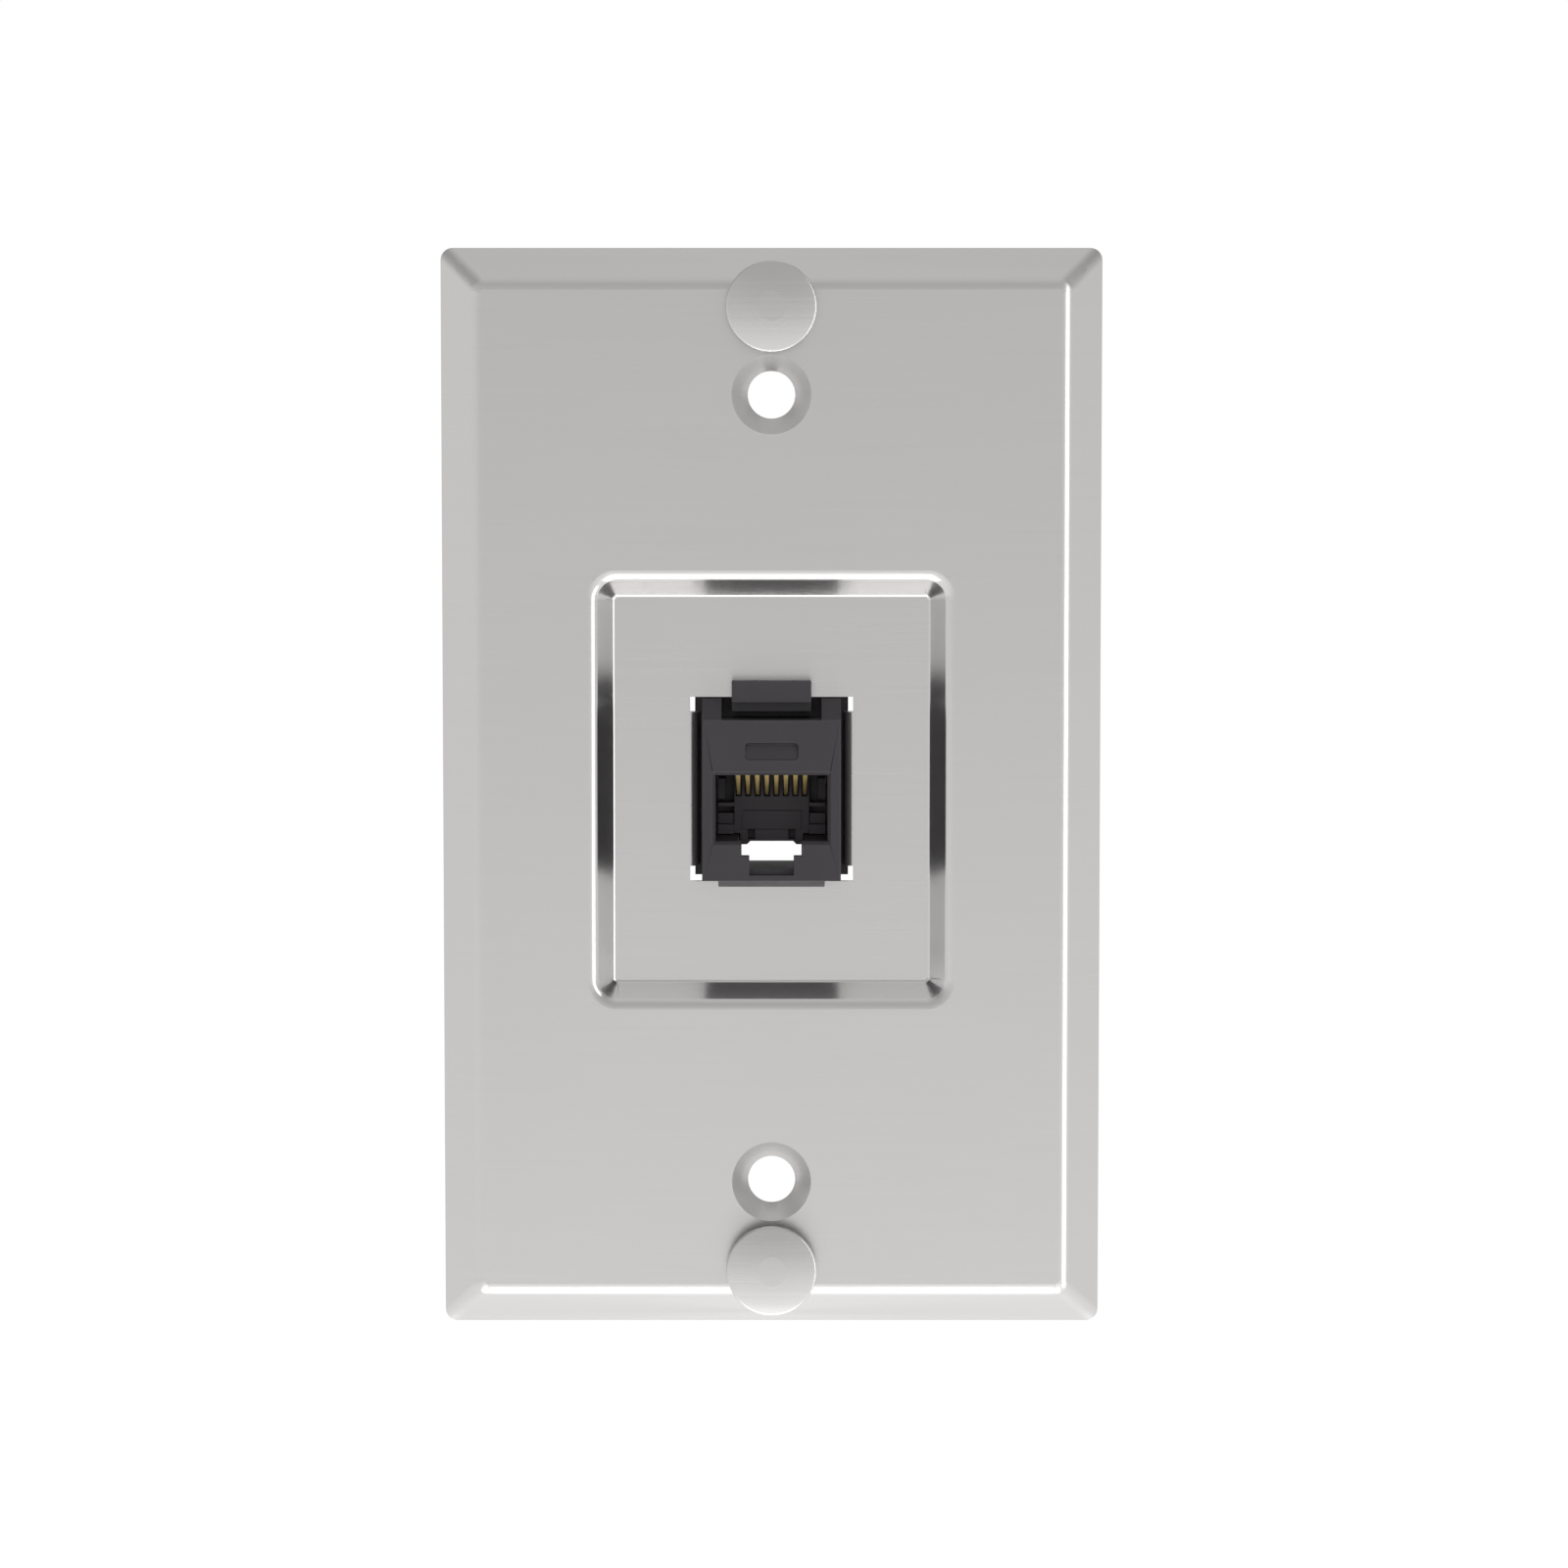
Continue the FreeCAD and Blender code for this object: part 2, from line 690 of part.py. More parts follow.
def contact_side(x, raised, offset):
    """Edges of one side of a contact from its tail to its tip, offset from the centre line."""
    slope = radians(contact_slope)
    turn_end = radians(270 - contact_slope)
    centre = Vector(x, bend_y, contact_run_height - contact_bend_radius)
    radius = contact_bend_radius + offset

    def on_bend(angle):
        return centre + Vector(0, radius * cos(angle), radius * sin(angle))

    tail_z = upper_row if raised else contact_run_height
    points = [Vector(x, board_back_y + contact_tail, tail_z + offset)]
    if raised:
        step_y = rear_y - contact_row_step / 2 - offset * tan(pi / 8)
        points.append(Vector(x, step_y, upper_row + offset))
        points.append(Vector(x, step_y - contact_row_step, contact_run_height + offset))
    points.append(on_bend(pi / 2))
    edges = [Part.LineSegment(a, b).toShape() for a, b in zip(points, points[1:])]
    bend = Part.Arc(on_bend(pi / 2), on_bend((pi / 2 + turn_end) / 2), on_bend(turn_end))
    edges.append(bend.toShape())
    end = on_bend(turn_end)
    tip_y = nose_y + contact_tip_behind
    tip = Vector(x, tip_y, end.z - (tip_y - end.y) * tan(slope))
    edges.append(Part.LineSegment(end, tip).toShape())
    return edges, points[0], tip


def contact(index):
    """Spring wire: tail through the board, run over the comb, bend, and slope into its slot."""
    x = contact_places[index] - contact_width / 2
    raised = index % 2 == 1
    outer, outer_tail, outer_tip = contact_side(x, raised, contact_thickness / 2)
    inner, inner_tail, inner_tip = contact_side(x, raised, -contact_thickness / 2)
    ends = [(outer_tail, inner_tail), (outer_tip, inner_tip)]
    edges = outer + inner + [Part.LineSegment(a, b).toShape() for a, b in ends]
    face = Part.Face(Part.Wire(Part.__sortEdges__(edges)))
    return face.extrude(Vector(contact_width, 0, 0))


def board_holes(y_front, y_back, grow):
    """Tools through the board for the contact tails and the terminal pins."""
    half_w = contact_width / 2 + grow
    half_t = contact_thickness / 2 + grow
    tools = []
    for i, x in enumerate(contact_places):
        z = upper_row if i % 2 == 1 else contact_run_height
        tools.append(box((x - half_w, x + half_w), (y_front, y_back), (z - half_t, z + half_t)))
    for side in (-1, 1):
        for z in wire_places:
            middle = side * blade_x
            half_b = blade_thickness / 2 + grow
            half_p = blade_pin_width / 2 + grow
            across = (middle - half_b, middle + half_b)
            tools.append(box(across, (y_front, y_back), (z - half_p, z + half_p)))
    return tools


def circuit_board():
    """Board between the housing and the terminal block."""
    half = rear_half - board_side_gap
    board = box((-half, half), (rear_y, board_back_y), (block_bottom, block_top))
    return board.cut(board_holes(rear_y - 1, board_back_y + 1, pin_gap))


def wire_slot(z):
    """Slot for one wire across a column of towers, with its lead-in, at height z."""
    half = wire_slot_width / 2
    wide = half + wire_lead_in
    floor = tower_y + wire_slot_floor
    lead = tower_top_y - wire_lead_depth
    above = tower_top_y + 1
    return prism_x([
        (floor, z - half), (lead, z - half), (tower_top_y, z - wide), (above, z - wide),
        (above, z + wide), (tower_top_y, z + wide), (lead, z + half), (floor, z + half),
    ], (trough_width / 2, arm_outer + 1))


def snap_arm():
    """Arm on the right side that reaches over the board and snaps on the housing's catch."""
    front_y = shoulder_back_y + arm_front_gap
    half = arm_width / 2
    arm = box((arm_inner, arm_outer), (front_y, board_back_y), (block_middle - half, block_middle + half))
    window_y = shoulder_back_y + catch_from_shoulder - catch_gap
    window_half = catch_width / 2 + catch_gap
    window = box(
        (arm_inner - 1, arm_outer + 1),
        (window_y, window_y + catch_length + 2 * catch_gap),
        (block_middle - window_half, block_middle + window_half),
    )
    return arm.cut(window)


def terminal_block():
    """Rear block: base on the board, two columns of wire towers and two snap arms."""
    trough = trough_width / 2
    base = box((-arm_outer, arm_outer), (board_back_y, tower_y), (block_bottom, block_top))
    column = box((trough, arm_outer), (tower_y, tower_top_y), (block_bottom, block_top))
    for z in wire_places:
        column = column.cut(wire_slot(z))
    groove_half = blade_thickness / 2 + blade_gap
    groove_side = blade_width / 2 + blade_gap
    grooves = []
    for side in (-1, 1):
        for z in wire_places:
            middle = side * blade_x
            grooves.append(box(
                (middle - groove_half, middle + groove_half),
                (board_back_y, tower_top_y),
                (z - groove_side, z + groove_side),
            ))
    pocket_half = comb_half + tail_pocket_margin
    pocket = box(
        (-pocket_half, pocket_half),
        (board_back_y, board_back_y + tail_pocket_depth),
        (contact_run_height - tail_pocket_margin, upper_row + tail_pocket_margin),
    )
    block = base.fuse(both_sides(column) + both_sides(snap_arm()))
    return block.cut(grooves + [pocket]).removeSplitter()


def wire_terminal(side, z):
    """Forked blade in its groove, with a pin through the board."""
    middle = side * blade_x
    x = (middle - blade_thickness / 2, middle + blade_thickness / 2)
    tip_y = tower_top_y - blade_tip_gap
    slit_y = tip_y - blade_slit_depth
    half = blade_width / 2
    slit = blade_slit / 2
    mouth_y = tip_y - blade_mouth
    pin = blade_pin_width / 2
    right = [
        (rear_y, pin), (board_back_y, pin), (board_back_y, half), (mouth_y, half),
        (tip_y, half - blade_mouth / 2), (tip_y, slit + blade_mouth), (mouth_y, slit), (slit_y, slit),
    ]
    left = [(y, -across) for y, across in reversed(right)]
    return prism_x([(y, z + across) for y, across in right + left], x)


def build():
    """Every piece of the plate by name."""
    pieces = {
        "faceplate": faceplate(),
        "upper_stud": stud(stud_height),
        "lower_stud": stud(-stud_height),
        "jack_housing": jack_housing(),
        "contact_carrier": contact_carrier(),
        "circuit_board": circuit_board(),
        "terminal_block": terminal_block(),
    }
    for i in range(contact_count):
        pieces[f"contact_{i + 1}"] = contact(i)
    places = [(side, z) for side in (-1, 1) for z in reversed(wire_places)]
    for i, (side, z) in enumerate(places):
        pieces[f"idc_terminal_{i + 1}"] = wire_terminal(side, z)
    return pieces


os.makedirs("parts", exist_ok=True)
for name, shape in build().items():
    shape.exportStep(f"parts/{name}.step")
    print(name, len(shape.Solids), shape.isValid(), round(shape.Volume, 3))
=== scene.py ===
"""Dresses a wall telephone plate and its modular jack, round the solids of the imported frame."""

import json
import logging
import math
from dataclasses import dataclass, field
from enum import Enum

import bmesh
import bpy
from mathutils import Euler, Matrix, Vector


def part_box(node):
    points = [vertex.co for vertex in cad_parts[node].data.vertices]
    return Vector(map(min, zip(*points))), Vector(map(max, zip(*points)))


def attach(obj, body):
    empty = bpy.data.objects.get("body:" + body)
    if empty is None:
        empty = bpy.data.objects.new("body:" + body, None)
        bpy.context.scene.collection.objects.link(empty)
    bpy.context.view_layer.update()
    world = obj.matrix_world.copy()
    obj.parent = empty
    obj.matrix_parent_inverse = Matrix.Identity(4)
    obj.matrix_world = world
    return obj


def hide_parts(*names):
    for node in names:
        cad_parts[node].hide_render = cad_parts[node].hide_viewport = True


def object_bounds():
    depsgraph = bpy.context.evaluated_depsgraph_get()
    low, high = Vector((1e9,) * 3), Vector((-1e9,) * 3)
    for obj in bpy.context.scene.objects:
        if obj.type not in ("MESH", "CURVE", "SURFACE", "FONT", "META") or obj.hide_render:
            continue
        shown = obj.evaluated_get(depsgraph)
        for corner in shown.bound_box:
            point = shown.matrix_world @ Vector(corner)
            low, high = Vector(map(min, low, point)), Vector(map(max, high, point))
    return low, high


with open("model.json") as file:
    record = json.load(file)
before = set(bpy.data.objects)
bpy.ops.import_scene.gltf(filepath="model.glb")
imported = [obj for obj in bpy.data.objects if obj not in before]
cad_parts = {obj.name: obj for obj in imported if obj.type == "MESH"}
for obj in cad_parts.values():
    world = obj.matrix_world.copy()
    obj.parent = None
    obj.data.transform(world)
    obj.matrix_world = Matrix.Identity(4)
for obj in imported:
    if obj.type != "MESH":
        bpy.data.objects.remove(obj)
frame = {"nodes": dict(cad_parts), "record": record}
CAD_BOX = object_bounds()
MM = 0.001
BODY = "root"
MIX_FIRST, MIX_SECOND, MIX_RESULT = 6, 7, 2  # the colour sockets of a Mix node
log = logging.getLogger("wall_plate")


class Signal:
    """A node's socket that can stand in an arithmetic expression."""

    def __init__(self, tree: "NodeBoard", socket: bpy.types.NodeSocket) -> None:
        """Wraps one output socket.

        Args:
            tree: The tree that the socket belongs to.
            socket: The output socket.
        """
        self.tree = tree
        self.socket = socket

    def _math(
        self, operation: str, first: "Signal | float", second: "Signal | float" = 0.0
    ) -> "Signal":
        """Adds a Math node.

        Args:
            operation: The Math node's operation.
            first: Its first value.
            second: Its second value.

        Returns:
            The node's result.
        """
        values = {0: first, 1: second}
        return self.tree.value("ShaderNodeMath", 0, {"operation": operation}, values)

    def __add__(self, other: "Signal | float") -> "Signal":
        """The sum of two signals."""
        return self._math("ADD", self, other)

    def __radd__(self, other: float) -> "Signal":
        """The sum with a number on the left."""
        return self._math("ADD", other, self)

    def __sub__(self, other: "Signal | float") -> "Signal":
        """The difference of two signals."""
        return self._math("SUBTRACT", self, other)

    def __rsub__(self, other: float) -> "Signal":
        """The difference from a number on the left."""
        return self._math("SUBTRACT", other, self)

    def __mul__(self, other: "Signal | float") -> "Signal":
        """The product of two signals."""
        return self._math("MULTIPLY", self, other)

    def __rmul__(self, other: float) -> "Signal":
        """The product with a number on the left."""
        return self._math("MULTIPLY", other, self)

    def __truediv__(self, other: "Signal | float") -> "Signal":
        """The quotient of two signals."""
        return self._math("DIVIDE", self, other)

    def __mod__(self, other: "Signal | float") -> "Signal":
        """The remainder of a division."""
        return self._math("MODULO", self, other)

    def at_least(self, other: "Signal | float") -> "Signal":
        """The larger of two signals."""
        return self._math("MAXIMUM", self, other)

    def size(self) -> "Signal":
        """The signal without its sign."""
        return self._math("ABSOLUTE", self)

    def root(self) -> "Signal":
        """The square root."""
        return self._math("SQRT", self)

    def whole(self) -> "Signal":
        """The signal rounded down."""
        return self._math("FLOOR", self)

    def cosine(self) -> "Signal":
        """The cosine of an angle in radians."""
        return self._math("COSINE", self)

    def sine(self) -> "Signal":
        """The sine of an angle in radians."""
        return self._math("SINE", self)

    def above(self, edge: float, soft: float) -> "Signal":
        """A soft step.

        Args:
            edge: The value at the middle of the step.
            soft: The step's width.

        Returns:
            0 below the edge and 1 above it.
        """
        ends = {"Value": self, "From Min": edge - soft / 2, "From Max": edge + soft / 2}
        return self.tree.value("ShaderNodeMapRange", 0, {"clamp": True}, ends)

    def below(self, edge: float, soft: float) -> "Signal":
        """The step from 1 below an edge to 0 above it."""
        return 1.0 - self.above(edge, soft)


class NodeBoard:
    """A node tree with one method that adds any node."""

    def __init__(self, tree: bpy.types.NodeTree) -> None:
        """Empties the tree.

        Args:
            tree: The node tree of a material, a shape or the world.
        """
        self.tree = tree
        self.tree.nodes.clear()

    def add(
        self, kind: str, settings: dict | None = None, inputs: dict | None = None
    ) -> bpy.types.Node:
        """Adds a node, sets it up and fills its sockets.

        Args:
            kind: The node's type name.
            settings: Its properties, set first; "stops" gives a ramp's places and colours.
            inputs: Values or signals by socket name or number.

        Returns:
            The node.
        """
        node = self.tree.nodes.new(kind)
        for name, value in (settings or {}).items():
            if name == "stops":
                self._set_stops(node, value)
            else:
                setattr(node, name, value)
        for key, value in (inputs or {}).items():
            if isinstance(value, Signal):
                self.tree.links.new(value.socket, node.inputs[key])
            else:
                node.inputs[key].default_value = value
        return node

    def value(
        self, kind: str, output: str | int = 0, settings: dict | None = None,
        inputs: dict | None = None,
    ) -> Signal:
        """Adds a node and gives one of its outputs.

        Args:
            kind: The node's type name.
            output: The output's name or number.
            settings: As for add.
            inputs: As for add.

        Returns:
            The output as a signal.
        """
        return Signal(self, self.add(kind, settings, inputs).outputs[output])

    def axes(self, vector: Signal) -> list[Signal]:
        """The three coordinates of a vector."""
        node = self.add("ShaderNodeSeparateXYZ", None, {"Vector": vector})
        return [Signal(self, node.outputs[axis]) for axis in "XYZ"]

    @staticmethod
    def _set_stops(node: bpy.types.Node, stops: list[tuple[float, tuple]]) -> None:
        """Writes a ramp's stops.

        Args:
            node: The ramp node.
            stops: Each stop's place and colour, in order.
        """
        elements = node.color_ramp.elements
        while len(elements) < len(stops):
            elements.new(1.0)
        for element, (place, colour) in zip(elements, stops):
            element.position = place
            element.color = colour


class ShapeTree(NodeBoard):
    """A geometry tree with named sizes, which makes pieces from a line."""

    def __init__(self, name: str, sizes: dict[str, str]) -> None:
        """Makes the tree and its inputs.

        Args:
            name: The tree's name.
            sizes: Each size's name and the last word of its socket type.
        """
        super().__init__(bpy.data.node_groups.new(name, "GeometryNodeTree"))
        sockets = self.tree.interface
        sockets.new_socket("Geometry", in_out="OUTPUT", socket_type="NodeSocketGeometry")
        kinds = {"Geometry": "Geometry", **sizes, "Finish": "Material"}
        self.keys = {
            key: sockets.new_socket(key, in_out="INPUT", socket_type="NodeSocket" + kind).identifier
            for key, kind in kinds.items()
        }
        self.entry = self.add("NodeGroupInput")

    def given(self, name: str) -> Signal:
        """One of the tree's inputs."""
        return Signal(self, self.entry.outputs[name])

    def rounded_line(self, radius: str, steps: int) -> Signal:
        """The given line with rounded corners.

        Args:
            radius: The name of the input for the corners' radius.
            steps: Edges in each rounded corner.

        Returns:
            The line as a curve.
        """
        line = self.value("GeometryNodeMeshToCurve", 0, None, {"Mesh": self.given("Geometry")})
        corners = {
            "Curve": line, "Count": steps, "Radius": self.given(radius), "Limit Radius": True,
        }
        return self.value("GeometryNodeFilletCurve", 0, {"mode": "POLY"}, corners)

    def end(self, shape: Signal) -> None:
        """Ends the tree with real, smooth and finished faces.

        Args:
            shape: The shape so far.
        """
        real = self.value("GeometryNodeRealizeInstances", 0, None, {"Geometry": shape})
        smooth = self.value("GeometryNodeSetShadeSmooth", 0, None, {"Geometry": real})
        finished = {"Geometry": smooth, "Material": self.given("Finish")}
        self.add("NodeGroupOutput", None, {
            "Geometry": self.value("GeometryNodeSetMaterial", 0, None, finished),
        })

    def make(
        self, name: str, line: list[tuple[float, float, float]], sizes: dict
    ) -> bpy.types.Object:
        """Makes a piece from a line.

        Args:
            name: The piece's name.
            line: The points of the line, in metres.
            sizes: Each input's value.

        Returns:
            The piece, as a closed plain mesh.
        """
        mesh = bpy.data.meshes.new(name)
        mesh.from_pydata(line, [(i, i + 1) for i in range(len(line) - 1)], [])
        piece = bpy.data.objects.new(name, mesh)
        bpy.context.scene.collection.objects.link(piece)
        modifier = piece.modifiers.new("shape", "NODES")
        modifier.node_group = self.tree
        for key, value in sizes.items():
            modifier[self.keys[key]] = value
        graph = bpy.context.evaluated_depsgraph_get()
        piece.data = bpy.data.meshes.new_from_object(piece.evaluated_get(graph))
        piece.modifiers.clear()
        close_up(piece.data)
        return piece


def close_up(mesh: bpy.types.Mesh, gap: float = 0.001 * MM) -> None:
    """Merges a mesh's seams and poles and turns its faces outwards.

    Args:
        mesh: The mesh, changed in place.
        gap: The distance within which points are one.
    """
    shell = bmesh.new()
    shell.from_mesh(mesh)
    bmesh.ops.remove_doubles(shell, verts=shell.verts, dist=gap)
    bmesh.ops.dissolve_degenerate(shell, edges=shell.edges, dist=gap)
    bmesh.ops.recalc_face_normals(shell, faces=shell.faces)
    shell.to_mesh(mesh)
    shell.free()


def finish_tree(name: str) -> tuple[bpy.types.Material, NodeBoard]:
    """Makes an empty material.

    Args:
        name: The material's name.

    Returns:
        The material and its tree.
    """
    material = bpy.data.materials.new(name)
    material.use_nodes = True
    return material, NodeBoard(material.node_tree)


def surface(tree: NodeBoard, inputs: dict) -> None:
    """Adds the shader and the output of a material.

    Args:
        tree: The material's tree.
        inputs: The shader's values and signals.
    """
    shader = tree.value("ShaderNodeBsdfPrincipled", "BSDF", None, inputs)
    tree.add("ShaderNodeOutputMaterial", None, {"Surface": shader})


def noise(
    tree: NodeBoard, stretch: tuple[float, float, float], detail: float = 2.0, rough: float = 0.5
) -> Signal:
    """Noise on the piece's own coordinates.

    Args:
        tree: The material's tree.
        stretch: Waves in each metre along X, Y and Z.
        detail: The number of finer layers.
        rough: The strength of each finer layer.

    Returns:
        The noise, about 0.5.
    """
    place = tree.value("ShaderNodeTexCoord", "Object")
    ends = {"Vector": place, "Scale": stretch}
    scaled = tree.value("ShaderNodeMapping", "Vector", None, ends)
    return tree.value(
        "ShaderNodeTexNoise", "Fac", None,
        {"Vector": scaled, "Scale": 1.0, "Detail": detail, "Roughness": rough},
    )


def relief(
    tree: NodeBoard, height: Signal, depth: float, strength: float = 1.0, over: Signal | None = None
) -> Signal:
    """Fine relief on a surface.

    Args:
        tree: The material's tree.
        height: The relief, from 0 to 1.
        depth: Its full depth, in metres.
        strength: The share of it that shows.
        over: The normal that it lies over.

    Returns:
        The normal with the relief.
    """
    inputs = {"Strength": strength, "Distance": depth, "Height": height}
    if over is not None:
        inputs["Normal"] = over
    return tree.value("ShaderNodeBump", "Normal", None, inputs)


def blended(
    tree: NodeBoard, share: Signal, first: "tuple | Signal", second: "tuple | Signal"
) -> Signal:
    """A colour between two, by a share.

    Args:
        tree: The material's tree.
        share: The second colour's share.
        first: The colour at 0.
        second: The colour at 1.

    Returns:
        The mixed colour.
    """
    ends = [c if isinstance(c, Signal) else (*c, 1.0) for c in (first, second)]
    inputs = {"Factor": share, MIX_FIRST: ends[0], MIX_SECOND: ends[1]}
    return tree.value("ShaderNodeMix", MIX_RESULT, {"data_type": "RGBA"}, inputs)


@dataclass(frozen=True)
class BrushedSteel:
    """Stainless steel brushed from side to side."""

    name: str
    colour: tuple[float, float, float] = (0.665, 0.655, 0.65)
    worn: tuple[float, float, float] = (0.62, 0.61, 0.604)
    roughness: float = 0.29
    roughness_spread: float = 0.06
    anisotropy: float = 0.55
    grain: tuple[float, float, float] = (45.0, 45.0, 5200.0)
    grain_layers: float = 3.0
    grain_fineness: float = 0.62
    grain_share: float = 0.7
    grain_depth: float = 0.0000005
    cloud: tuple[float, float, float] = (38.0, 38.0, 52.0)
    cloud_share: float = 0.3
    across_the_grain: float = 0.25

    def material(self) -> bpy.types.Material:
        """Makes the finish.

        Returns:
            The finish as a material.
        """
        material, tree = finish_tree(self.name)
        lines = noise(tree, self.grain, self.grain_layers, self.grain_fineness)
        cloud = noise(tree, self.cloud)
        grain = relief(tree, lines, self.grain_depth)
        place = tree.axes(tree.value("ShaderNodeTexCoord", "Object"))
        wear = lines * self.grain_share + cloud * self.cloud_share
        roughness = self.roughness + (lines - 0.5) * self.roughness_spread
        surface(tree, {
            "Base Color": blended(tree, wear, self.worn, self.colour),
            "Metallic": 1.0,
            "Roughness": self.burnished(place, roughness),
            "Anisotropic": self.anisotropy,
            "Anisotropic Rotation": self.across_the_grain,
            "Normal": self.turned(tree, place, grain),
        })
        return material

    def burnished(self, place: list[Signal], roughness: Signal) -> Signal:
        """The roughness, where no tool has rubbed the sheet."""
        return roughness

    def turned(self, tree: NodeBoard, place: list[Signal], grain: Signal) -> Signal:
        """The normal, where no cutter has turned the sheet."""
        return grain


@dataclass(frozen=True)
class PressedSteel(BrushedSteel):
    """Brushed sheet, burnished where the press drew its panel and turned in its screw dimples."""

    panel_half_width: float = 18.9 * MM
    panel_half_height: float = 22.7 * MM
    wall_front: float = -3.72 * MM
    wall_back: float = -1.58 * MM
    wall_roughness: float = 0.19
    dimple_heights: tuple[float, float] = (-41.67 * MM, 41.67 * MM)
    dimple_radius: float = 4.25 * MM
    rings: float = 3000.0
    ring_layers: float = 2.0
    ring_depth: float = 0.000015
    soft: float = 0.12 * MM

    def burnished(self, place: list[Signal], roughness: Signal) -> Signal:
        """Smoother steel on the drawn walls.

        Args:
            place: The place's three coordinates.
            roughness: The roughness elsewhere.

        Returns:
            The roughness all over the sheet.
        """
        across, depth, up = place
        inside = across.size().below(self.panel_half_width, self.soft)
        inside = inside * up.size().below(self.panel_half_height, self.soft)
        wall = inside * depth.above(self.wall_front, self.soft)
        wall = wall * depth.below(self.wall_back, self.soft)
        return roughness + wall * (self.wall_roughness - roughness)

    def turned(self, tree: NodeBoard, place: list[Signal], grain: Signal) -> Signal:
        """Rings of a countersink in the dimples.

        Args:
            tree: The material's tree.
            place: The place's three coordinates.
            grain: The normal elsewhere.

        Returns:
            The normal all over the sheet.
        """
        across, _, up = place
        for height in self.dimple_heights:
            rise = up - height
            radius = (across * across + rise * rise).root()
            ring = tree.value(
                "ShaderNodeTexNoise", "Fac", {"noise_dimensions": "1D"},
                {"W": radius * self.rings, "Scale": 1.0, "Detail": self.ring_layers},
            )
            inside = radius.below(self.dimple_radius, self.soft)
            grain = relief(tree, ring * inside, self.ring_depth, over=grain)
        return grain


@dataclass(frozen=True)
class MouldedPlastic:
    """Satin moulded plastic with the fine texture of an eroded mould."""

    name: str
    colour: tuple[float, float, float]
    rubbed: tuple[float, float, float]
    roughness: float = 0.48
    roughness_spread: float = 0.16
    gloss: float = 0.45
    texture: float = 9000.0
    texture_depth: float = 0.000004
    texture_strength: float = 0.6
    cloud: float = 260.0
    cloud_layers: float = 3.0

    def material(self) -> bpy.types.Material:
        """Makes the finish.

        Returns:
            The finish as a material.
        """
        material, tree = finish_tree(self.name)
        fine = noise(tree, (self.texture,) * 3)
        cloud = noise(tree, (self.cloud,) * 3, self.cloud_layers)
        texture = relief(tree, fine, self.texture_depth, self.texture_strength)
        surface(tree, {
            "Base Color": blended(tree, cloud, self.colour, self.rubbed),
            "Roughness": self.roughness + (cloud - 0.5) * self.roughness_spread,
            "Specular IOR Level": self.gloss,
            "Normal": texture,
        })
        return material


@dataclass(frozen=True)
class PlatedMetal:
    """Bright plating on a stamped or drawn contact."""

    name: str
    colour: tuple[float, float, float]
    dull: tuple[float, float, float]
    roughness: float = 0.24
    metallic: float = 1.0
    roughness_spread: float = 0.16
    draw_marks: tuple[float, float, float] = (9000.0, 300.0, 900.0)
    cloud: float = 1400.0

    def material(self) -> bpy.types.Material:
        """Makes the finish.

        Returns:
            The finish as a material.
        """
        material, tree = finish_tree(self.name)
        draw = noise(tree, self.draw_marks)
        cloud = noise(tree, (self.cloud,) * 3)
        surface(tree, {
            "Base Color": blended(tree, cloud, self.dull, self.colour),
            "Metallic": self.metallic,
            "Roughness": self.roughness + (draw - 0.5) * self.roughness_spread,
        })
        return material


@dataclass(frozen=True)
class BoardLaminate:
    """Glass laminate under a green solder mask."""

    name: str
    mask: tuple[float, float, float] = (0.016, 0.115, 0.045)
    over_copper: tuple[float, float, float] = (0.03, 0.19, 0.075)
    roughness: float = 0.30
    roughness_spread: float = 0.12
    coat: float = 0.4
    coat_roughness: float = 0.12
    weave: tuple[float, float, float] = (2600.0, 900.0, 2600.0)
    weave_layers: float = 1.0
    cloud: float = 420.0

    def material(self) -> bpy.types.Material:
        """Makes the finish.

        Returns:
            The finish as a material.
        """
        material, tree = finish_tree(self.name)
        weave = noise(tree, self.weave, self.weave_layers)
        cloud = noise(tree, (self.cloud,) * 3)
        surface(tree, {
            "Base Color": blended(tree, cloud, self.mask, self.over_copper),
            "Roughness": self.roughness + (weave - 0.5) * self.roughness_spread,
            "Coat Weight": self.coat,
            "Coat Roughness": self.coat_roughness,
        })
        return material


class Ray(Enum):
    """The rays that see the white background."""

    CAMERA = "Is Camera Ray"
    GLOSSY = "Is Glossy Ray"
    TRANSMISSION = "Is Transmission Ray"


@dataclass
class Lamp:
    """A soft box that faces the plate."""

    name: str
    place: tuple[float, float, float]
    width: float
    height: float
    radiance: float
    mirrored: bool = True

    def build(self) -> None:
        """Adds the lamp to the scene."""
        data = bpy.data.lights.new(self.name, "AREA")
        data.shape = "RECTANGLE"
        data.size = self.width
        data.size_y = self.height
        data.energy = self.radiance * math.pi * self.width * self.height
        lamp = bpy.data.objects.new(self.name, data)
        lamp.location = Vector(self.place)
        lamp.rotation_euler = Vector(self.place).to_track_quat("Z", "Y").to_euler()
        lamp.visible_camera = False
        lamp.visible_glossy = self.mirrored
        bpy.context.scene.collection.objects.link(lamp)


